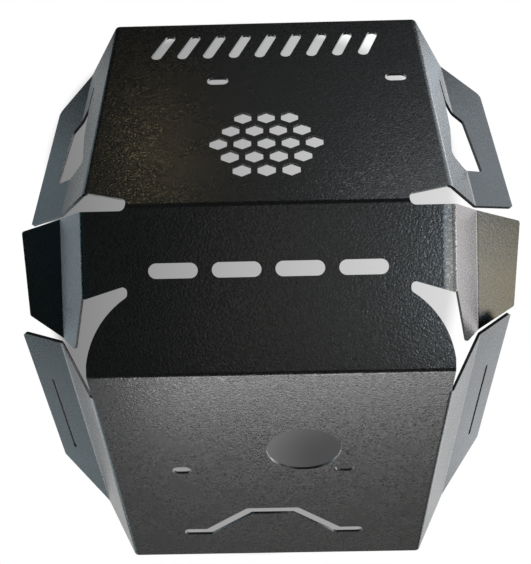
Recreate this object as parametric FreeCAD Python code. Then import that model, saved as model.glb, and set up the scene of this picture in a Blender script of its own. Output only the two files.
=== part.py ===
import FreeCAD, Part
import math
import os
from collections import namedtuple

# Motorcycle belly pan: one laser-cut steel sheet, folded into a front, a chin and a belly panel,
# each with a joggled wing on both sides. The belly lies level, the chin rises forward from it and
# the front stands upright. Origin: outer face of the belly, on the centre plane, in line with the
# belly's two bolt slots. +X across the motorcycle, +Z up, and the front panel faces -Y.

Vec = FreeCAD.Vector
Panel = namedtuple("Panel", "start along inward")

# The sheet and its folds, in millimetres and degrees
SHEET = 2.0
BEND_RADIUS = 3.0
CHIN_FOLD = 45.0
BELLY_FOLD = 45.0
WING_FOLD = 50.0
FRONT_WING_TURN_BACK_RIGHT = 36.0
FRONT_WING_TURN_BACK_LEFT = 20.0
CHIN_WING_TURN_BACK_RIGHT = 38.0
CHIN_WING_TURN_BACK_LEFT = 30.0
BELLY_WING_TURN_BACK_RIGHT = 19.0
BELLY_WING_TURN_BACK_LEFT = 40.0

# The three panels, measured between the sharp lines where their outer faces would meet
PANEL_WIDTH = 240.0
FRONT_LENGTH = 217.0
CHIN_LENGTH = 110.5
BELLY_LENGTH = 252.0

# Wings: widths of the inner strip (next to the panel) and of the outer strip
FRONT_WING_INNER = 31.0
FRONT_WING_OUTER = 28.0
CHIN_WING_INNER = 29.5
CHIN_WING_OUTER = 31.0
BELLY_WING_INNER = 25.0
BELLY_WING_OUTER = 25.0

# Wing outlines: heights along the panel, from the fold that the panel shares with its neighbour
FRONT_WING_FOOT = 13.0
FRONT_WING_FOOT_RISE = 11.0
FRONT_WING_TAPER = 63.0
FRONT_WING_SHOULDER_RADIUS = 12.0
CHIN_WING_FOLD_DROP = 3.5
CHIN_WING_TOP_DROP = 11.0
CHIN_WING_FOOT = 51.0
CHIN_WING_OUTER_FOOT = 39.0
CHIN_WING_OUTER_SLOPE = 5.0
CHIN_WING_FOLD_FOOT = 24.0
CHIN_WING_TIP = 17.0
CHIN_WING_TIP_IN = 16.0
BELLY_WING_FOOT = 23.5
BELLY_WING_FOLD_RISE = 12.5
BELLY_WING_CORNER_RISE = 18.5
BELLY_WING_TAPER = 125.0
CORNER_RADIUS = 2.0

# Long window across the fold of each front wing, and the slit in each belly wing
WINDOW_TIP_MARGIN = 60.0
WINDOW_TIP_INSIDE = 8.0
WINDOW_TIP_WIDTH = 1.4
WINDOW_TIP_RADIUS = 0.6
WINDOW_SLIT_MARGIN = 86.0
WINDOW_SLIT_INSIDE = 6.5
WINDOW_NECK_MARGIN = 103.0
WINDOW_NECK_OUTSIDE = 7.5
WINDOW_FOOT = 57.0
WINDOW_FOOT_OUTSIDE = 12.0
WINDOW_FOOT_INSIDE = 5.0
WINDOW_FOOT_DROP = 2.5
WINDOW_HEEL_INSIDE = 18.5
WINDOW_WAIST_RISE = 35.0
WINDOW_WAIST_INSIDE = 11.0
WINDOW_THROAT_MARGIN = 93.0
WINDOW_THROAT_INSIDE = 8.8
WINDOW_CORNER_RADIUS = 5.0
SLIT_START = 30.0
SLIT_LENGTH = 85.0
SLIT_WIDTH = 1.7
SLIT_OUTSIDE = 2.0

# Relief cuts at the corners where three folds meet
NOTCH_DEPTH = 28.5
NOTCH_TIP_RISE = 6.0
NOTCH_DROP = 3.4
NOTCH_TIP_RADIUS = 4.0
CHIN_CORNER_RADIUS = 61.5
CHIN_RELIEF_DEPTH = 28.5
CHIN_RELIEF_RISE = 8.0
CHIN_RELIEF_TIP_RADIUS = 3.0
EDGE_GAP = 0.5

# Bolt slots, drain access hole and stepped slot
FRONT_SLOT_HEIGHT = 137.0
FRONT_SLOT_SPACING = 133.0
FRONT_SLOT_OFFSET = 30.5
FRONT_SLOT_LENGTH = 16.0
FRONT_SLOT_WIDTH = 9.0
BELLY_SLOT_PLACE = 116.0
BELLY_SLOT_SPACING = 121.0
BELLY_SLOT_OFFSET = -8.0
BELLY_SLOT_LENGTH = 14.0
BELLY_SLOT_WIDTH = 9.0
DRAIN_DIAMETER = 54.0
DRAIN_OFFSET = 22.0
DRAIN_AHEAD = 25.5
STEP_SLOT_WIDTH = 9.0
STEP_SLOT_MARGIN = 40.0
STEP_SLOT_RISE = 33.0
STEP_SLOT_OFFSET = -2.0
STEP_SLOT_RUN = 16.0
STEP_SLOT_SLOPE = 34.0
STEP_SLOT_TOP = 37.0

# Plain vents: leaning slots, a honeycomb and a row of long slots
LEAN_COUNT = 9
LEAN_PITCH = 20.0
LEAN_LENGTH = 34.0
LEAN_WIDTH = 8.0
LEAN_ANGLE = 70.0
LEAN_MARGIN = 33.0
HONEYCOMB_HEIGHT = 62.0
HONEYCOMB_RADIUS = 7.0
HONEYCOMB_WEB = 4.5
HONEYCOMB_ROWS = (3, 4, 5, 4, 3)
CHIN_VENT_HEIGHT = 68.0
CHIN_VENT_COUNT = 4
CHIN_VENT_PITCH = 41.0
CHIN_VENT_LENGTH = 32.0
CHIN_VENT_WIDTH = 10.0

# How far a cutting prism stands clear of the sheet
CLEAR = 1.0

half = PANEL_WIDTH / 2
outside_radius = BEND_RADIUS + SHEET
wing_setback = outside_radius * math.tan(math.radians(WING_FOLD) / 2)


def rising_panel(start, degrees):
    """Panel that climbs forward from start at an angle to the level belly."""
    slope = math.radians(degrees)
    along = Vec(0, -math.cos(slope), math.sin(slope))
    return Panel(start, along, Vec(0, math.sin(slope), math.cos(slope)))


def build_panels():
    """Outer faces of the panels: a point on the shared fold, the way along and the way inward."""
    belly = Panel(Vec(0, -BELLY_SLOT_PLACE, 0), Vec(0, 1, 0), Vec(0, 0, 1))
    chin = rising_panel(belly.start, BELLY_FOLD)
    front = rising_panel(chin.start + chin.along * CHIN_LENGTH, BELLY_FOLD + CHIN_FOLD)
    return front, chin, belly


front, chin, belly = build_panels()


def at(panel, across, along, depth=0.0):
    return panel.start + Vec(across, 0, 0) + panel.along * along + panel.inward * depth


def left_of(way):
    return Vec(-way.y, way.x, 0)


def folded_section(mould, place):
    """Section of a folded strip. mould holds the sharp corners of the outer face, in the section's
    own plane, with the sheet on the left of the path. place puts a point of that plane in space."""
    outer_path = [mould[0]]
    inner_path = [mould[0] + left_of((mould[1] - mould[0]).normalize()) * SHEET]
    outer_edges = []
    inner_edges = []

    def run_to(path, edges, point):
        if path[-1].distanceToPoint(point) > 1e-6:
            edges.append(Part.LineSegment(place(path[-1]), place(point)).toShape())
        path.append(point)

    def arc_to(path, edges, middle, point):
        edges.append(Part.Arc(place(path[-1]), place(middle), place(point)).toShape())
        path.append(point)

    for before, corner, after in zip(mould, mould[1:], mould[2:]):
        way_in = (corner - before).normalize()
        way_out = (after - corner).normalize()
        turn = math.atan2(way_in.cross(way_out).z, way_in.dot(way_out))
        side = 1.0 if turn > 0 else -1.0
        radius = outside_radius if turn > 0 else BEND_RADIUS
        setback = radius * math.tan(abs(turn) / 2)
        start = corner - way_in * setback
        end = corner + way_out * setback
        centre = start + left_of(way_in) * side * radius
        toward = (corner - centre).normalize()
        inner_radius = radius - side * SHEET
        inner_end = end + left_of(way_out) * SHEET
        run_to(outer_path, outer_edges, start)
        arc_to(outer_path, outer_edges, centre + toward * radius, end)
        run_to(inner_path, inner_edges, start + left_of(way_in) * SHEET)
        arc_to(inner_path, inner_edges, centre + toward * inner_radius, inner_end)

    last_way = (mould[-1] - mould[-2]).normalize()
    run_to(outer_path, outer_edges, mould[-1])
    run_to(inner_path, inner_edges, mould[-1] + left_of(last_way) * SHEET)
    ends = [Part.LineSegment(place(outer_path[i]), place(inner_path[i])).toShape() for i in (0, -1)]
    return Part.Face(Part.Wire(Part.__sortEdges__(outer_edges + inner_edges + ends)))


def rounded_face(corners):
    """Flat face from (point, radius) corners, each rounded by a tangent arc."""
    edges = []
    stops = []
    count = len(corners)
    for i, (point, radius) in enumerate(corners):
        to_last = (corners[i - 1][0] - point).normalize()
        to_next = (corners[(i + 1) % count][0] - point).normalize()
        if radius == 0:
            stops.append((point, point))
            continue
        half_angle = to_last.getAngle(to_next) / 2
        reach = radius / math.tan(half_angle)
        bisector = (to_last + to_next).normalize()
        middle = point + bisector * (radius / math.sin(half_angle) - radius)
        first = point + to_last * reach
        second = point + to_next * reach
        edges.append(Part.Arc(first, middle, second).toShape())
        stops.append((first, second))
    for (_, leave), (arrive, _) in zip(stops, stops[1:] + stops[:1]):
        edges.append(Part.LineSegment(leave, arrive).toShape())
    return Part.Face(Part.Wire(Part.__sortEdges__(edges)))


def panel_cutter(panel, face):
    """Prism through a panel's sheet, from a face drawn CLEAR outside it."""
    return face.extrude(panel.inward * (SHEET + 2 * CLEAR))


def slot_cutter(panel, across, along, length, width, angle=0.0):
    """Slot with round ends, centred on (across, along), its length turned by angle from X."""
    turn = math.radians(angle)
    way = Vec(math.cos(turn), 0, 0) + panel.along * math.sin(turn)
    side = way.cross(panel.inward).normalize() * (width / 2)
    centre = at(panel, across, along, -CLEAR)
    run = way * ((length - width) / 2)
    cap = way * (width / 2)
    a, b = centre - run - side, centre + run - side
    c, d = centre + run + side, centre - run + side
    edges = [
        Part.LineSegment(a, b).toShape(),
        Part.Arc(b, centre + run + cap, c).toShape(),
        Part.LineSegment(c, d).toShape(),
        Part.Arc(d, centre - run - cap, a).toShape(),
    ]
    return panel_cutter(panel, Part.Face(Part.Wire(edges)))


def hexagon_cutter(panel, across, along, radius):
    """Six-sided hole with two corners on the line along the panel."""
    corners = []
    for k in range(6):
        turn = math.radians(60 * k + 30)
        corner = at(panel, across + radius * math.cos(turn), along + radius * math.sin(turn), -CLEAR)
        corners.append((corner, 0))
    return panel_cutter(panel, rounded_face(corners))


def bolt_slots(panel, along, offset, spacing, length, width):
    places = (offset - spacing / 2, offset + spacing / 2)
    return [slot_cutter(panel, across, along, length, width) for across in places]


def stepped_slot():
    """Slot that runs in, climbs, crosses and comes down again, cut with one round-ended stroke a run."""
    low = BELLY_LENGTH - STEP_SLOT_MARGIN
    steps = (STEP_SLOT_RUN, STEP_SLOT_SLOPE, STEP_SLOT_TOP, STEP_SLOT_SLOPE, STEP_SLOT_RUN)
    rises = (0, 0, STEP_SLOT_RISE, STEP_SLOT_RISE, 0, 0)
    across = STEP_SLOT_OFFSET - sum(steps) / 2
    strokes = []
    for step, rise, next_rise in zip(steps, rises, rises[1:]):
        climb = rise - next_rise
        strokes.append(slot_cutter(
            belly,
            across + step / 2,
            low - (rise + next_rise) / 2,
            math.hypot(step, climb) + STEP_SLOT_WIDTH,
            STEP_SLOT_WIDTH,
            math.degrees(math.atan2(climb, step)),
        ))
        across += step
    return strokes


def centred(count, pitch):
    return [(k - (count - 1) / 2) * pitch for k in range(count)]


def plain_vents():
    cutters = []
    lean_height = FRONT_LENGTH - LEAN_MARGIN
    for across in centred(LEAN_COUNT, LEAN_PITCH):
        cutters.append(slot_cutter(front, across, lean_height, LEAN_LENGTH, LEAN_WIDTH, LEAN_ANGLE))
    pitch = HONEYCOMB_RADIUS * math.sqrt(3) + HONEYCOMB_WEB
    rows = centred(len(HONEYCOMB_ROWS), pitch * math.sqrt(3) / 2)
    for rise, count in zip(rows, HONEYCOMB_ROWS):
        for across in centred(count, pitch):
            cutters.append(hexagon_cutter(front, across, HONEYCOMB_HEIGHT + rise, HONEYCOMB_RADIUS))
    for across in centred(CHIN_VENT_COUNT, CHIN_VENT_PITCH):
        cutters.append(slot_cutter(chin, across, CHIN_VENT_HEIGHT, CHIN_VENT_LENGTH, CHIN_VENT_WIDTH))
    return cutters


def drain_cutter():
    place = at(belly, DRAIN_OFFSET, BELLY_SLOT_PLACE - DRAIN_AHEAD, -CLEAR)
    return Part.makeCylinder(DRAIN_DIAMETER / 2, SHEET + 2 * CLEAR, place, belly.inward)


def front_notch():
    """Round-tipped wedge across the fold between front and chin, on the +X side."""
    normal = (front.inward + chin.inward).normalize()
    over = half + CLEAR
    tip = half - NOTCH_DEPTH
    slope = (FRONT_WING_FOOT - NOTCH_TIP_RISE) / (half - wing_setback - tip)
    reach = FRONT_WING_FOOT + SHEET
    corners = [
        (at(front, over, NOTCH_TIP_RISE + slope * (over - tip)), 0),
        (at(front, tip, NOTCH_TIP_RISE), NOTCH_TIP_RADIUS),
        (at(chin, tip, CHIN_LENGTH - NOTCH_DROP), NOTCH_TIP_RADIUS),
        (at(chin, over, CHIN_LENGTH - NOTCH_DROP), 0),
    ]
    return rounded_face(flattened(corners, front.start, normal, reach)).extrude(normal * 2 * reach)


def flattened(corners, origin, normal, reach):
    """Corners slid along normal into the plane that lies reach outside origin."""
    level = origin - normal * reach
    return [(point - normal * (point - level).dot(normal), radius) for point, radius in corners]


def chin_relief():
    """Cut outside the big round corner of the chin, up to the foot of its wing, on the +X side."""
    over = half + CLEAR
    tip = half - CHIN_RELIEF_DEPTH
    centre = half - CHIN_CORNER_RADIUS
    slope = CHIN_RELIEF_RISE / (half - wing_setback - tip)
    tip_height = math.sqrt(CHIN_CORNER_RADIUS ** 2 - (tip - centre) ** 2)
    middle_turn = math.atan2(tip_height, tip - centre) / 2
    middle = at(
        chin,
        centre + CHIN_CORNER_RADIUS * math.cos(middle_turn),
        CHIN_CORNER_RADIUS * math.sin(middle_turn),
        -CLEAR,
    )
    foot_over = CHIN_WING_FOOT - slope * (over - half + wing_setback)
    top = at(chin, tip, CHIN_WING_FOOT + CHIN_RELIEF_RISE, -CLEAR)
    arc_start = at(chin, tip, tip_height, -CLEAR)
    arc_end = at(chin, half, 0, -CLEAR)
    low = at(chin, over, 0, -CLEAR)
    high = at(chin, over, foot_over, -CLEAR)
    edges = [
        Part.Arc(arc_start, middle, arc_end).toShape(),
        Part.LineSegment(arc_end, low).toShape(),
        Part.LineSegment(low, high).toShape(),
        Part.LineSegment(high, top).toShape(),
        Part.LineSegment(top, arc_start).toShape(),
    ]
    solid = panel_cutter(chin, Part.Face(Part.Wire(edges)))
    tip_edges = [edge for edge in solid.Edges if runs_through(edge, top) or runs_through(edge, arc_start)]
    return solid.makeFillet(CHIN_RELIEF_TIP_RADIUS, tip_edges)


def runs_through(edge, point):
    """True for the edge of a prism that stands on point, along the chin's inward direction."""
    ends = [vertex.Point for vertex in edge.Vertexes]
    if len(ends) != 2:
        return False
    along = (ends[1] - ends[0]).cross(chin.inward).Length < 1e-6
    return along and min(end.distanceToPoint(point) for end in ends) < 1e-6


def slanted(degrees):
    """Unit direction in a wing's section plane: across the pan, turned inward by an angle."""
    return Vec(math.cos(math.radians(degrees)), math.sin(math.radians(degrees)), 0)


def wing_prism(panel, inner, turn_back, outline):
    """Prism over an outline given as (along, out, radius), square to the wing's mean plane.
    out runs across the wing's outer face, from the panel's sharp side line."""
    lean = math.radians(WING_FOLD - turn_back / 2)
    normal = Vec(-math.sin(lean), 0, 0) + panel.inward * math.cos(lean)
    reach = inner + outside_radius
    corners = []
    for along, out, radius in outline:
        near = min(max(out, 0.0), inner)
        far = max(out - inner, 0.0)
        spot = slanted(WING_FOLD) * near + slanted(WING_FOLD - turn_back) * far
        corners.append((at(panel, half + min(out, 0.0) + spot.x, along, spot.y), radius))
    return rounded_face(flattened(corners, at(panel, half, 0), normal, reach)).extrude(normal * 2 * reach)


def wing(panel, inner, outer, turn_back, outline, cutouts):
    """One +X wing: a joggled strip as long as its outline, trimmed to the outline and pierced."""
    lowest = min(along for along, _, _ in outline)
    highest = max(along for along, _, _ in outline)
    first = Vec(half, 0, 0)
    second = first + slanted(WING_FOLD) * inner
    rim = second + slanted(WING_FOLD - turn_back) * outer
    section = folded_section(
        [first - Vec(wing_setback, 0, 0), first, second, rim],
        lambda p: at(panel, p.x, lowest, p.y),
    )
    strip = section.extrude(panel.along * (highest - lowest))
    trimmed = strip.common(wing_prism(panel, inner, turn_back, outline))
    return trimmed.cut([wing_prism(panel, inner, turn_back, cutout) for cutout in cutouts])


root_edge = -wing_setback - CLEAR


def front_wing(turn_back):
    inner = FRONT_WING_INNER
    rim = inner + FRONT_WING_OUTER
    outline = [
        (FRONT_WING_FOOT, root_edge, 0),
        (FRONT_LENGTH, root_edge, 0),
        (FRONT_LENGTH, wing_setback, 0),
        (FRONT_LENGTH - FRONT_WING_TAPER, rim, FRONT_WING_SHOULDER_RADIUS),
        (FRONT_WING_FOOT + FRONT_WING_FOOT_RISE, rim, CORNER_RADIUS),
        (FRONT_WING_FOOT, wing_setback, 0),
    ]
    tip = FRONT_LENGTH - WINDOW_TIP_MARGIN
    window = [
        (tip, inner - WINDOW_TIP_INSIDE - WINDOW_TIP_WIDTH, WINDOW_TIP_RADIUS),
        (tip, inner - WINDOW_TIP_INSIDE, WINDOW_TIP_RADIUS),
        (FRONT_LENGTH - WINDOW_SLIT_MARGIN, inner - WINDOW_SLIT_INSIDE, WINDOW_CORNER_RADIUS),
        (FRONT_LENGTH - WINDOW_NECK_MARGIN, inner + WINDOW_NECK_OUTSIDE, WINDOW_CORNER_RADIUS),
        (WINDOW_FOOT, inner + WINDOW_FOOT_OUTSIDE, CORNER_RADIUS),
        (WINDOW_FOOT - WINDOW_FOOT_DROP, inner - WINDOW_FOOT_INSIDE, WINDOW_CORNER_RADIUS),
        (WINDOW_FOOT, inner - WINDOW_HEEL_INSIDE, WINDOW_CORNER_RADIUS),
        (WINDOW_FOOT + WINDOW_WAIST_RISE, inner - WINDOW_WAIST_INSIDE, WINDOW_CORNER_RADIUS),
        (FRONT_LENGTH - WINDOW_THROAT_MARGIN, inner - WINDOW_THROAT_INSIDE, WINDOW_CORNER_RADIUS),
    ]
    return wing(front, inner, FRONT_WING_OUTER, turn_back, outline, [window])


def chin_wing(turn_back):
    inner = CHIN_WING_INNER
    rim = inner + CHIN_WING_OUTER
    top = CHIN_LENGTH - NOTCH_DROP
    outline = [
        (CHIN_WING_FOOT, root_edge, 0),
        (top, root_edge, 0),
        (top, wing_setback, 0),
        (top - CHIN_WING_FOLD_DROP, inner, 0),
        (top - CHIN_WING_TOP_DROP, rim, CORNER_RADIUS),
        (CHIN_WING_OUTER_FOOT, rim - CHIN_WING_OUTER_SLOPE, CORNER_RADIUS),
        (CHIN_WING_FOLD_FOOT, inner, 0),
        (CHIN_WING_TIP, inner - CHIN_WING_TIP_IN, CORNER_RADIUS),
        (CHIN_WING_FOOT, wing_setback, 0),
    ]
    return wing(chin, inner, CHIN_WING_OUTER, turn_back, outline, [])


def belly_wing(turn_back):
    inner = BELLY_WING_INNER
    rim = inner + BELLY_WING_OUTER
    outline = [
        (BELLY_LENGTH, root_edge, 0),
        (BELLY_WING_FOOT, root_edge, 0),
        (BELLY_WING_FOOT, wing_setback, 0),
        (-BELLY_WING_FOLD_RISE, inner, 0),
        (-BELLY_WING_CORNER_RISE, rim, CORNER_RADIUS),
        (BELLY_LENGTH - BELLY_WING_TAPER, rim, CORNER_RADIUS),
        (BELLY_LENGTH, wing_setback, 0),
    ]
    middle = inner + BELLY_WING_OUTER / 2 + SLIT_OUTSIDE
    near = middle - SLIT_WIDTH / 2
    far = middle + SLIT_WIDTH / 2
    slit_end = SLIT_START + SLIT_LENGTH
    slit = [(SLIT_START, near, 0), (SLIT_START, far, 0), (slit_end, far, 0), (slit_end, near, 0)]
    return wing(belly, inner, BELLY_WING_OUTER, turn_back, outline, [slit])


def side_strip(panel, low, high):
    """Strip cut off a panel's side, between two heights, where a wing's bend takes its place."""
    root = half - wing_setback
    over = half + CLEAR
    corners = [(root, low), (over, low), (over, high), (root, high)]
    points = [(at(panel, across, along, -CLEAR), 0) for across, along in corners]
    return panel_cutter(panel, rounded_face(points))


def spine():
    """The three panels and the two folds between them, as one folded section carried across."""
    corners = [at(front, 0, FRONT_LENGTH), front.start, belly.start, at(belly, 0, BELLY_LENGTH)]
    mould = [Vec(point.y, point.z, 0) for point in corners]
    reach = half - EDGE_GAP
    section = folded_section(mould, lambda p: Vec(-reach, p.x, p.y))
    return section.extrude(Vec(2 * reach, 0, 0))


def mirrored(shape):
    return shape.mirror(Vec(0, 0, 0), Vec(1, 0, 0))


def both_sides(shapes):
    return shapes + [mirrored(shape) for shape in shapes]


def belly_pan():
    cutters = both_sides([
        front_notch(),
        chin_relief(),
        side_strip(front, FRONT_WING_FOOT, FRONT_LENGTH + CLEAR),
        side_strip(chin, CHIN_WING_FOOT, CHIN_LENGTH - NOTCH_DROP),
        side_strip(belly, BELLY_WING_FOOT, BELLY_LENGTH + CLEAR),
    ])
    cutters += bolt_slots(
        front, FRONT_SLOT_HEIGHT, FRONT_SLOT_OFFSET, FRONT_SLOT_SPACING, FRONT_SLOT_LENGTH, FRONT_SLOT_WIDTH)
    cutters += bolt_slots(
        belly, BELLY_SLOT_PLACE, BELLY_SLOT_OFFSET, BELLY_SLOT_SPACING, BELLY_SLOT_LENGTH, BELLY_SLOT_WIDTH)
    cutters.append(drain_cutter())
    cutters += stepped_slot()
    cutters += plain_vents()
    wings = [
        front_wing(FRONT_WING_TURN_BACK_RIGHT),
        chin_wing(CHIN_WING_TURN_BACK_RIGHT),
        belly_wing(BELLY_WING_TURN_BACK_RIGHT),
        mirrored(front_wing(FRONT_WING_TURN_BACK_LEFT)),
        mirrored(chin_wing(CHIN_WING_TURN_BACK_LEFT)),
        mirrored(belly_wing(BELLY_WING_TURN_BACK_LEFT)),
    ]
    return spine().cut(cutters).fuse(wings).removeSplitter()


pan = belly_pan()
solids = pan.Solids
print("solids", len(solids), "valid", pan.isValid(), "volume", round(pan.Volume), "box", pan.BoundBox)
os.makedirs("parts", exist_ok=True)
solids[0].exportStep("parts/belly_pan.step")
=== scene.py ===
import math
import bpy
import bmesh
import numpy as np
from mathutils import Matrix, Vector


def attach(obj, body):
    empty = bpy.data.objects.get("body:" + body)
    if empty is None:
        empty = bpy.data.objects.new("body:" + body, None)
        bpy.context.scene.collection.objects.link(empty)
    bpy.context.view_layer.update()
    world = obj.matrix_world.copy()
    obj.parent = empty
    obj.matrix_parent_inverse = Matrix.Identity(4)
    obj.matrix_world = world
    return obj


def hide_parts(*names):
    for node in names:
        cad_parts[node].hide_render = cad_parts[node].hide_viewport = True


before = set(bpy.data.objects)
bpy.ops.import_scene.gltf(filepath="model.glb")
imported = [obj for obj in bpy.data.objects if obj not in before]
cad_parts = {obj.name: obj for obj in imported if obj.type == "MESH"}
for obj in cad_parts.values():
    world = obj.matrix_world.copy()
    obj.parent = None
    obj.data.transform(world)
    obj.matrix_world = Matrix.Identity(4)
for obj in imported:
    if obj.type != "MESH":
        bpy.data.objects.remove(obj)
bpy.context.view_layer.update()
scene = bpy.context.scene
print("frame loaded:", sorted(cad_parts))


# shared helpers for meshes
def meshObject(name, verts, faces):
    mesh = bpy.data.meshes.new(name)
    mesh.from_pydata(verts.tolist(), [], faces.tolist())
    mesh.update()
    obj = bpy.data.objects.new(name, mesh)
    scene.collection.objects.link(obj)
    return obj


def gridFaces(rows, cols):
    # quads of a grid whose points are numbered row by row
    corner = (np.arange(rows - 1)[:, None] * cols + np.arange(cols - 1)).ravel()
    return np.stack([corner, corner + 1, corner + cols + 1, corner + cols], axis=1)


# shared helpers for materials and the world: each adds nodes to a tree and gives back an output
def newMaterial(name):
    mat = bpy.data.materials.new(name)
    mat.use_nodes = True
    return mat, mat.node_tree, mat.node_tree.nodes["Principled BSDF"]


def feed(tree, socket, value):
    # another node's output is linked, a plain number or vector is set
    if isinstance(value, bpy.types.NodeSocket):
        tree.links.new(value, socket)
    else:
        socket.default_value = value


def sums(tree, operation, *values):
    node = tree.nodes.new("ShaderNodeMath")
    node.operation = operation
    for socket, value in zip(node.inputs, values):
        feed(tree, socket, value)
    return node.outputs["Value"]


def vectorSums(tree, operation, *values):
    node = tree.nodes.new("ShaderNodeVectorMath")
    node.operation = operation
    for socket, value in zip(node.inputs, values):
        feed(tree, socket, value)
    return node.outputs["Value" if operation == "LENGTH" else "Vector"]


def product(tree, first, *others):
    for other in others:
        first = sums(tree, "MULTIPLY", first, other)
    return first


def ramp(tree, source, span, ends, smooth=True):
    # from the first end to the second as the source crosses the span, and level outside it
    node = tree.nodes.new("ShaderNodeMapRange")
    node.interpolation_type = "SMOOTHSTEP" if smooth else "LINEAR"
    node.inputs["From Min"].default_value, node.inputs["From Max"].default_value = span
    node.inputs["To Min"].default_value, node.inputs["To Max"].default_value = ends
    tree.links.new(source, node.inputs["Value"])
    return node.outputs["Result"]


def noise(tree, place, scale, detail):
    node = tree.nodes.new("ShaderNodeTexNoise")
    node.inputs["Scale"].default_value = scale
    node.inputs["Detail"].default_value = detail
    tree.links.new(place, node.inputs["Vector"])
    return node


def parts(tree, vector):
    node = tree.nodes.new("ShaderNodeSeparateXYZ")
    tree.links.new(vector, node.inputs["Vector"])
    return node.outputs


def blend(tree, factor, first, second):
    node = tree.nodes.new("ShaderNodeMix")
    feed(tree, node.inputs["A"], first)
    feed(tree, node.inputs["B"], second)
    tree.links.new(factor, node.inputs["Factor"])
    return node.outputs["Result"]


def seenRays(tree):
    # one for what the camera, a reflection or glass shows, nought for plain light
    rays = tree.nodes.new("ShaderNodeLightPath").outputs
    seen = sums(tree, "MAXIMUM", rays["Is Camera Ray"], rays["Is Glossy Ray"])
    return sums(tree, "MAXIMUM", seen, rays["Is Transmission Ray"])


# powder coat: black, satin, with a fine leather grain
coat = {
    "grainScale": 620.0,       # grain cells per metre
    "grainSmoothness": 0.6,    # how far the cells run into each other
    "grainDepth": 0.00010,     # metres
    "grainStrength": 0.8,
    "warpScale": 310.0,        # the coarser noise that pushes the cells about
    "warpDetail": 1.0,
    "warpPush": 0.0011,        # metres
    "fineScale": 1700.0,       # fine noise in the grain's height and in the colour
    "fineDetail": 2.0,
    "fineHeight": 0.35,        # times the noise, added to the cells
    "fleckScale": 760.0,       # grain faces per metre, each at its own slight tilt
    "fleckTilt": 0.05,         # full range, radians
    "fleckShine": 0.13,        # less roughness on the shiniest quarter of them
    "shinyFrom": (0.70, 0.80),  # of each face's random number
    "darkColour": (0.009, 0.009, 0.0095, 1.0),
    "paleColour": (0.028, 0.028, 0.029, 1.0),
    "cloudScale": 38.0,        # broad, faint changes of gloss
    "cloudDetail": 3.0,
    "cloudSpan": (0.3, 0.7),
    "roughness": (0.26, 0.29),
    "specular": 0.9,
    # places below are in metres along the axes, each from where a change starts to where it is whole
    "wingGrain": 0.35,         # share of the grain left on the wings, past the folds
    "wingStart": (0.119, 0.124),
    "bellyGrain": 0.6,         # share of it on the belly
    "bellyStart": (-0.116, -0.11),
    "roundLean": 0.16,         # lean of the surface just before the chin's right fold
    "roundStart": (0.1115, 0.1145),
    "roundEnd": (0.1195, 0.121),
    "roundFoot": (0.022, 0.027),
    "chinTop": (0.082, 0.085),
    "chinRear": (-0.118, -0.115),
}


def grainShare(tree, spot):
    # the grain is calmer on the belly, and fades on the wings: a share of it past the folds
    across = sums(tree, "ABSOLUTE", spot["X"])
    wingShare = ramp(tree, across, coat["wingStart"], (1.0, coat["wingGrain"]))
    bellyShare = ramp(tree, spot["Y"], coat["bellyStart"], (1.0, coat["bellyGrain"]))
    return product(tree, wingShare, bellyShare)


def fleckLean(tree, flecks, share):
    # each small face of the grain leans its own way: a random step per cell
    lean = tree.nodes.new("ShaderNodeMapRange")
    lean.data_type = "FLOAT_VECTOR"
    lean.inputs["To Min"].default_value = (-0.5 * coat["fleckTilt"],) * 3
    lean.inputs["To Max"].default_value = (0.5 * coat["fleckTilt"],) * 3
    tree.links.new(flecks.outputs["Color"], lean.inputs["Vector"])
    scaled = tree.nodes.new("ShaderNodeVectorMath")
    scaled.operation = "SCALE"
    tree.links.new(lean.outputs["Vector"], scaled.inputs[0])
    tree.links.new(share, scaled.inputs["Scale"])
    return scaled.outputs["Vector"]


def foldLean(tree, spot):
    # the chin's right fold is rounder than the others: the surface leans outward just before it
    rise = ramp(tree, spot["X"], coat["roundStart"], (0.0, coat["roundLean"]))
    stop = ramp(tree, spot["X"], coat["roundEnd"], (1.0, 0.0))
    below = ramp(tree, spot["Z"], coat["chinTop"], (1.0, 0.0))
    foot = ramp(tree, spot["Z"], coat["roundFoot"], (0.0, 1.0))
    ahead = ramp(tree, spot["Y"], coat["chinRear"], (1.0, 0.0))
    outward = tree.nodes.new("ShaderNodeCombineXYZ")
    tree.links.new(product(tree, rise, stop, below, foot, ahead), outward.inputs["X"])
    return outward.outputs["Vector"]


def coatRoughness(tree, place, flecks, share):
    cloud = noise(tree, place, coat["cloudScale"], coat["cloudDetail"])
    rough = ramp(tree, cloud.outputs["Fac"], coat["cloudSpan"], coat["roughness"], smooth=False)
    # about a quarter of the grain faces are shinier
    chance = tree.nodes.new("ShaderNodeSeparateColor")
    tree.links.new(flecks.outputs["Color"], chance.inputs["Color"])
    shine = ramp(tree, chance.outputs["Red"], coat["shinyFrom"], (0.0, coat["fleckShine"]), smooth=False)
    return sums(tree, "SUBTRACT", rough, product(tree, shine, share))


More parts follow.
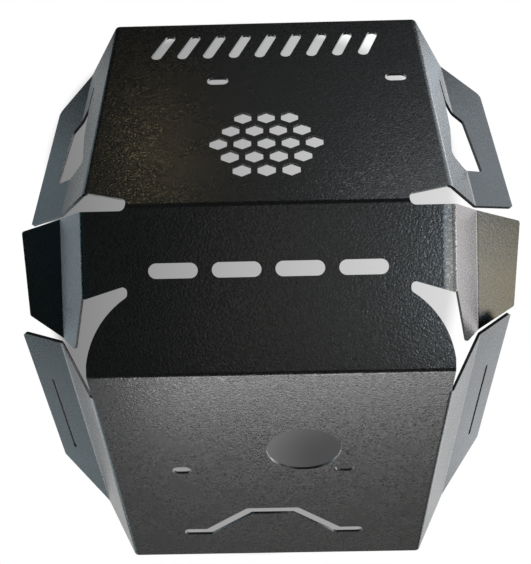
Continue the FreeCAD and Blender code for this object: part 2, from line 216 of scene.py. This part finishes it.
def powderCoat():
    mat, tree, shader = newMaterial("powderCoat")
    place = tree.nodes.new("ShaderNodeTexCoord").outputs["Object"]
    spot = parts(tree, place)
    share = grainShare(tree, spot)
    # the cells lie unevenly: their place is pushed about by a coarser noise
    warp = noise(tree, place, coat["warpScale"], coat["warpDetail"])
    pushed = vectorSums(tree, "MULTIPLY_ADD", warp.outputs["Color"], (coat["warpPush"],) * 3, place)
    cells = tree.nodes.new("ShaderNodeTexVoronoi")
    cells.feature = "SMOOTH_F1"
    cells.inputs["Scale"].default_value = coat["grainScale"]
    cells.inputs["Smoothness"].default_value = coat["grainSmoothness"]
    tree.links.new(pushed, cells.inputs["Vector"])
    flecks = tree.nodes.new("ShaderNodeTexVoronoi")
    flecks.inputs["Scale"].default_value = coat["fleckScale"]
    tree.links.new(pushed, flecks.inputs["Vector"])
    fine = noise(tree, place, coat["fineScale"], coat["fineDetail"]).outputs["Fac"]
    # the surface direction: the sheet's own, plus the flecks' lean and the fold's, and the grain's bumps
    facing = tree.nodes.new("ShaderNodeNewGeometry").outputs["Normal"]
    leaning = vectorSums(tree, "ADD", facing, fleckLean(tree, flecks, share))
    rounded = vectorSums(tree, "ADD", leaning, foldLean(tree, spot))
    bump = tree.nodes.new("ShaderNodeBump")
    bump.invert = True
    bump.inputs["Distance"].default_value = coat["grainDepth"]
    tree.links.new(product(tree, share, coat["grainStrength"]), bump.inputs["Strength"])
    height = sums(tree, "MULTIPLY_ADD", fine, coat["fineHeight"], cells.outputs["Distance"])
    tree.links.new(height, bump.inputs["Height"])
    tree.links.new(vectorSums(tree, "NORMALIZE", rounded), bump.inputs["Normal"])
    tree.links.new(bump.outputs["Normal"], shader.inputs["Normal"])
    tree.links.new(coatRoughness(tree, place, flecks, share), shader.inputs["Roughness"])
    tint = tree.nodes.new("ShaderNodeMix")
    tint.data_type = "RGBA"
    tint.inputs["A"].default_value = coat["darkColour"]
    tint.inputs["B"].default_value = coat["paleColour"]
    tree.links.new(fine, tint.inputs["Factor"])
    tree.links.new(tint.outputs["Result"], shader.inputs["Base Color"])
    shader.inputs["Specular IOR Level"].default_value = coat["specular"]
    return mat


# the folded sheet: the solid's mesh with its triangles joined, edges eased by the coat
sheet = {
    "node": "belly_pan",
    "mergeStep": 1e-6,         # points closer than this are one, metres
    "flatAngle": 0.3,          # degrees between triangles of one flat face
    "easedEdge": 0.00035,      # round on the cut edges, metres
    "easedSegments": 2,
    "cutAngle": 50.0,          # an edge sharper than this is a cut edge, degrees
    "levelWeight": 100,        # large faces set the direction of the smooth shading
}


def coatedSheet():
    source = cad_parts[sheet["node"]].data
    points = np.empty(len(source.vertices) * 3, np.float32)
    source.vertices.foreach_get("co", points)
    points = points.reshape(-1, 3)
    source.calc_loop_triangles()
    triangles = np.empty(len(source.loop_triangles) * 3, np.int32)
    source.loop_triangles.foreach_get("vertices", triangles)
    # points on the same step of a fine lattice become one, and triangles left without area go
    step = np.round(points / sheet["mergeStep"]).astype(np.int64)
    _, first, joined = np.unique(step, axis=0, return_index=True, return_inverse=True)
    faces = joined.reshape(-1)[triangles].reshape(-1, 3)
    whole = (faces != np.roll(faces, 1, axis=1)).all(axis=1)
    obj = meshObject("coated_sheet", points[first], faces[whole])
    shape = bmesh.new()
    shape.from_mesh(obj.data)
    bmesh.ops.dissolve_limit(
        shape, angle_limit=math.radians(sheet["flatAngle"]), verts=shape.verts, edges=shape.edges)
    shape.to_mesh(obj.data)
    shape.free()
    obj.data.polygons.foreach_set("use_smooth", np.ones(len(obj.data.polygons), bool))
    obj.data.set_sharp_from_angle(angle=math.radians(sheet["cutAngle"]))
    ease = obj.modifiers.new("easedEdges", "BEVEL")
    ease.width = sheet["easedEdge"]
    ease.segments = sheet["easedSegments"]
    ease.limit_method = "ANGLE"
    ease.angle_limit = math.radians(sheet["cutAngle"])
    ease.use_clamp_overlap = True
    level = obj.modifiers.new("levelFaces", "WEIGHTED_NORMAL")
    level.weight = sheet["levelWeight"]
    level.keep_sharp = False
    obj.data.materials.append(powderCoat())
    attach(obj, "root")
    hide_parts(sheet["node"])
    print("sheet:", len(obj.data.vertices), "points,", len(obj.data.polygons), "faces")


coatedSheet()

# stage: a pale floor well below the pan, and dark cloth screens in front of it, under it and behind
# its lower half; the camera doesn't see the screens, which only keep the panels' reflections dark
floorSet = {
    "height": -2.2,
    "reach": 20.0,
    "points": 5,               # along each side
    "colour": (0.78, 0.78, 0.77, 1.0),
    "roughness": 0.7,
    "glow": (1.0, 1.0, 1.0, 1.0),
    "paleness": 0.7,           # brightness added where the camera or a reflection sees it
}
screenSet = {
    "radius": 1.9,
    "points": (17, 25),        # sideways and up
    "patches": {               # degrees round from straight ahead, then above the horizon
        "front_screen": ((-115.0, 115.0), (-90.0, 80.0)),
        "rear_screen": ((115.0, 245.0), (-90.0, 0.0)),
    },
    "colour": (0.02, 0.02, 0.02, 1.0),
    "roughness": 1.0,
    "specular": 0.0,
}


def paleFloor():
    # a flat square grid
    count = floorSet["points"]
    edge = np.linspace(-floorSet["reach"], floorSet["reach"], count)
    x, y = np.meshgrid(edge, edge)
    verts = np.stack([x.ravel(), y.ravel(), np.full(x.size, floorSet["height"])], axis=1)
    obj = meshObject("floor", verts, gridFaces(count, count))
    mat, tree, shader = newMaterial("palePaper")
    shader.inputs["Base Color"].default_value = floorSet["colour"]
    shader.inputs["Roughness"].default_value = floorSet["roughness"]
    shader.inputs["Emission Color"].default_value = floorSet["glow"]
    pale = ramp(tree, seenRays(tree), (0.0, 1.0), (0.0, floorSet["paleness"]), smooth=False)
    tree.links.new(pale, shader.inputs["Emission Strength"])
    obj.data.materials.append(mat)


def darkScreens():
    mat, _, shader = newMaterial("darkCloth")
    shader.inputs["Base Color"].default_value = screenSet["colour"]
    shader.inputs["Roughness"].default_value = screenSet["roughness"]
    shader.inputs["Specular IOR Level"].default_value = screenSet["specular"]
    r = screenSet["radius"]
    cols, rows = screenSet["points"]
    for name, (sideAngle, riseAngle) in screenSet["patches"].items():
        # part of a sphere round the pan: one angle runs sideways, the other up
        side, rise = np.meshgrid(np.radians(np.linspace(*sideAngle, cols)),
                                 np.radians(np.linspace(*riseAngle, rows)))
        verts = np.stack([(r * np.sin(side) * np.cos(rise)).ravel(),
                          (-r * np.cos(side) * np.cos(rise)).ravel(),
                          (r * np.sin(rise)).ravel()], axis=1)
        obj = meshObject(name, verts, gridFaces(rows, cols))
        obj.data.materials.append(mat)
        obj.visible_camera = False


paleFloor()
darkScreens()
print("stage made")

# lamps: soft rectangles round the pan, all turned to one point in it; the right side is the brighter
lampAim = Vector((0.0, -0.06, 0.14))
lampFar = 1.4                  # metres from that point, where a lamp has no distance of its own
lamps = {                      # way from the point, size in metres, brightness of the lamp's face, colour
    "rightSide": {"way": (0.92, 0.3, 0.24), "size": (0.8, 0.8), "glow": 3.5,
                  "colour": (1.0, 0.96, 0.97)},
    "rightLow": {"way": (0.62, -0.45, -0.64), "size": (0.5, 0.5), "glow": 3.7,
                 "colour": (1.0, 0.86, 0.55)},
    "rightLevel": {"way": (0.995, -0.05, -0.04), "size": (0.4, 0.4), "glow": 8.0,
                   "colour": (1.0, 0.97, 0.97)},
    "rightEdge": {"way": (0.87, -0.34, -0.34), "size": (0.4, 0.4), "glow": 3.2,
                  "colour": (0.8, 0.9, 1.0)},
    "rightHigh": {"way": (0.6, -0.495, 0.63), "size": (0.62, 0.62), "glow": 1.85,
                  "colour": (0.82, 0.92, 1.0)},
    "rightTop": {"way": (0.67, 0.25, 0.7), "size": (0.7, 0.7), "glow": 1.1,
                 "colour": (0.79, 0.91, 1.0)},
    "rightRear": {"way": (0.71, 0.69, -0.14), "size": (0.7, 0.6), "glow": 1.75,
                  "colour": (0.92, 0.96, 1.0)},
    "rightBehind": {"way": (0.68, 0.7, 0.2), "size": (0.4, 0.5), "glow": 0.35,
                    "colour": (0.92, 0.96, 1.0)},
    "rightFront": {"way": (0.46, -0.63, -0.63), "size": (0.46, 0.46), "glow": 4.05,
                   "colour": (0.7, 0.85, 1.0)},
    "rightRoof": {"way": (0.73, -0.09, 0.68), "size": (0.5, 0.5), "glow": 3.3,
                  "colour": (0.95, 0.97, 1.0)},
    "leftSide": {"way": (-0.92, 0.3, 0.24), "size": (0.8, 0.8), "glow": 1.42,
                 "colour": (0.76, 0.9, 1.0)},
    "leftTop": {"way": (-0.7, 0.21, 0.68), "size": (0.7, 0.7), "glow": 0.56,
                "colour": (0.93, 0.98, 1.0)},
    "leftRear": {"way": (-0.52, 0.74, -0.43), "size": (0.5, 0.5), "glow": 1.25,
                 "colour": (0.75, 0.92, 1.0)},
    "leftBehind": {"way": (-0.7, 0.69, -0.2), "size": (0.5, 0.4), "glow": 2.0,
                   "colour": (0.92, 0.97, 1.0)},
    "leftFront": {"way": (-0.95, -0.25, 0.15), "size": (0.6, 0.6), "glow": 1.8,
                  "colour": (0.55, 0.86, 1.0)},
    "leftAhead": {"way": (-0.755, -0.245, 0.608), "size": (0.5, 0.5), "glow": 0.8,
                  "colour": (0.7, 0.9, 1.0)},
    "leftLow": {"way": (-0.6, -0.56, -0.56), "size": (0.6, 0.6), "glow": 0.11,
                "colour": (0.05, 0.85, 1.0)},
    "frontLeft": {"way": (-0.28, -0.78, 0.55), "size": (0.5, 0.4), "glow": 0.12,
                  "colour": (1.0, 0.96, 0.6)},
    "frontRight": {"way": (0.3, -0.76, 0.58), "size": (0.5, 0.4), "glow": 1.2,
                   "colour": (0.9, 0.95, 1.0)},
    "warmGlint": {"way": (-0.17, -0.685, 0.708), "far": 1.38, "size": (0.085, 0.085), "glow": 3.2,
                  "colour": (1.0, 0.8, 0.45)},
    "frontLow": {"way": (0.18, -0.67, -0.72), "size": (0.75, 0.6), "glow": 0.3,
                 "colour": (1.0, 0.99, 0.94)},
    "underRear": {"way": (0.06, 0.605, -0.794), "size": (0.78, 0.5), "glow": 4.3,
                  "colour": (1.0, 1.0, 1.0)},
    "frontHigh": {"way": (0.16, -0.66, 0.73), "size": (0.7, 0.5), "glow": 0.15,
                  "colour": (0.95, 1.0, 1.0)},
    "underWide": {"way": (0.05, 0.8, -0.6), "size": (1.3, 0.9), "glow": 0.215,
                  "colour": (1.0, 0.99, 0.96)},
}


def addLamp(name, lamp):
    data = bpy.data.lights.new(name, "AREA")
    data.shape = "RECTANGLE"
    data.size, data.size_y = lamp["size"]
    data.color = lamp["colour"]
    data.energy = lamp["glow"] * math.pi * data.size * data.size_y   # watts for that brightness
    obj = bpy.data.objects.new(name, data)
    way = Vector(lamp["way"]).normalized()
    obj.location = lampAim + way * lamp.get("far", lampFar)
    obj.rotation_euler = (-way).to_track_quat("-Z", "Y").to_euler()
    obj.visible_camera = False
    scene.collection.objects.link(obj)


for lampName, lampSet in lamps.items():
    addLamp(lampName, lampSet)
print("lamps:", ", ".join(lamps))

# camera: below and in front, looking up at the chin panel; the picture is 531 by 564
view = {
    "focalPixels": 878.77,
    "pictureHeight": 564.0,
    "chinMiddle": (0.0, -0.155068, 0.039068),
    "back": 0.56465,           # along the chin's outward direction, metres
    "across": 0.00587,
    "downChin": -0.02359,
    "pitch": 0.0341,           # small turns off the chin's own directions, radians
    "turn": 0.0141,
    "roll": -0.0211,
    "clip": (0.01, 50.0),      # nearest and farthest that is drawn, metres
}


def addCamera():
    # the chin leans at 45 degrees: its right, its way down and the way through it
    half = math.sqrt(0.5)
    right = Vector((1.0, 0.0, 0.0))
    down = Vector((0.0, half, -half))
    ahead = Vector((0.0, half, half))
    spot = (Vector(view["chinMiddle"]) + right * view["across"] + down * view["downChin"]
            - ahead * view["back"])
    # these as columns, then the small turns, then to the camera's right, up and back
    chinAxes = Matrix((right, down, ahead)).transposed()
    turned = (Matrix.Rotation(view["roll"], 3, "Z") @ Matrix.Rotation(view["turn"], 3, "Y")
              @ Matrix.Rotation(view["pitch"], 3, "X"))
    axes = chinAxes @ turned.transposed() @ Matrix.Diagonal((1.0, -1.0, -1.0))
    data = bpy.data.cameras.new("photoView")
    data.lens = data.sensor_width * view["focalPixels"] / view["pictureHeight"]
    data.clip_start, data.clip_end = view["clip"]
    obj = bpy.data.objects.new("photoView", data)
    obj.matrix_world = Matrix.Translation(spot) @ axes.to_4x4()
    scene.collection.objects.link(obj)
    scene.camera = obj
    return obj


photoView = addCamera()
print("camera set")

# surroundings: white where the camera or a reflection sees them, and a plain level of light;
# straight behind the pan the white paper is painted in shade, darker to the left and behind the drain
# hole
surround = {
    "light": 0.30,
    "colour": (1.0, 1.0, 1.0, 1.0),
    "shadeMiddle": (-12.0, -6.0),   # from the picture's middle, right and up, pixels
    "shadeReach": (212.0, 259.0),   # half width and height of the shaded paper, pixels
    "shadeTaper": 1.28,             # narrowing at the bottom
    "shadeEdge": (0.8, 0.96),       # from shade to white, in shares of the shape
    "shadeSpan": (-0.9, 1.0),       # from left to right, in shares of the half width
    "shadeLevel": (0.22, 0.72),
    # a painted shadow on the paper, behind the drain hole
    "shadowMiddle": (75.0, -176.0),
    "shadowWidth": 1.35,            # times its height
    "shadowReach": (15.0, 150.0),   # pixels up from its middle: fully dark, and gone
    "shadowDepth": 0.86,
    # painted shade: the paper behind the stepped slot is held at an even grey
    "stripMiddle": (10.0, -229.0),  # an even strip of paper behind the stepped slot
    "stripReach": (118.0, 24.0),
    "stripEdge": (0.85, 1.1),
    "stripLevel": 0.36,
    "flat": 1e4,                    # so large that the way from the camera plays no part
}


def paperPlace(tree, middle, reach):
    # directions as places on the picture: right and up from a middle, in units of the reach
    turn = photoView.matrix_world.to_3x3()
    place = tree.nodes.new("ShaderNodeTexCoord")
    spot = tree.nodes.new("ShaderNodeMapping")
    spot.vector_type = "TEXTURE"
    spot.inputs["Location"].default_value = turn @ Vector((*middle, 0.0)) / view["focalPixels"]
    spot.inputs["Rotation"].default_value = turn.to_euler()
    wide, high = reach
    spot.inputs["Scale"].default_value = (
        wide / view["focalPixels"], high / view["focalPixels"], surround["flat"])
    tree.links.new(place.outputs["Generated"], spot.inputs["Vector"])
    return spot.outputs["Vector"]


def paperLevel(tree):
    # the painted shade is a rounded shape, narrower towards the bottom: the square of the place across
    # plus the fourth power of the place up, and white past one
    spot = parts(tree, paperPlace(tree, surround["shadeMiddle"], surround["shadeReach"]))
    narrowing = ramp(tree, spot["Y"], (-1.0, 0.0), (surround["shadeTaper"], 1.0), smooth=False)
    across = product(tree, spot["X"], narrowing)
    upSquare = product(tree, spot["Y"], spot["Y"])
    rounded = sums(tree, "ADD", product(tree, across, across), product(tree, upSquare, upSquare))
    outside = ramp(tree, rounded, surround["shadeEdge"], (0.0, 1.0))
    # painted shade, darker to the left
    shade = ramp(tree, spot["X"], surround["shadeSpan"], surround["shadeLevel"], smooth=False)
    # the painted shadow is round and soft
    shadow = paperPlace(tree, surround["shadowMiddle"], (surround["shadowWidth"], 1.0))
    shadowAway = vectorSums(tree, "LENGTH", shadow)
    left = ramp(tree, shadowAway, surround["shadowReach"], (1.0 - surround["shadowDepth"], 1.0))
    paper = blend(tree, outside, product(tree, shade, left), 1.0)
    # the strip of painted shade is long and low
    strip = paperPlace(tree, surround["stripMiddle"], surround["stripReach"])
    stripAway = vectorSums(tree, "LENGTH", strip)
    onStrip = ramp(tree, stripAway, surround["stripEdge"], (1.0, 0.0))
    return blend(tree, onStrip, paper, surround["stripLevel"])


def surroundings():
    world = bpy.data.worlds.new("studio")
    scene.world = world
    world.use_nodes = True
    tree = world.node_tree
    tree.nodes.clear()
    light = tree.nodes.new("ShaderNodeBackground")
    light.inputs["Color"].default_value = surround["colour"]
    light.inputs["Strength"].default_value = surround["light"]
    white = tree.nodes.new("ShaderNodeBackground")
    white.inputs["Color"].default_value = surround["colour"]
    tree.links.new(paperLevel(tree), white.inputs["Strength"])
    mix = tree.nodes.new("ShaderNodeMixShader")
    tree.links.new(seenRays(tree), mix.inputs["Fac"])
    tree.links.new(light.outputs["Background"], mix.inputs[1])
    tree.links.new(white.outputs["Background"], mix.inputs[2])
    out = tree.nodes.new("ShaderNodeOutputWorld")
    tree.links.new(mix.outputs["Shader"], out.inputs["Surface"])


surroundings()

scene.view_settings.view_transform = "Standard"
print("surroundings set")
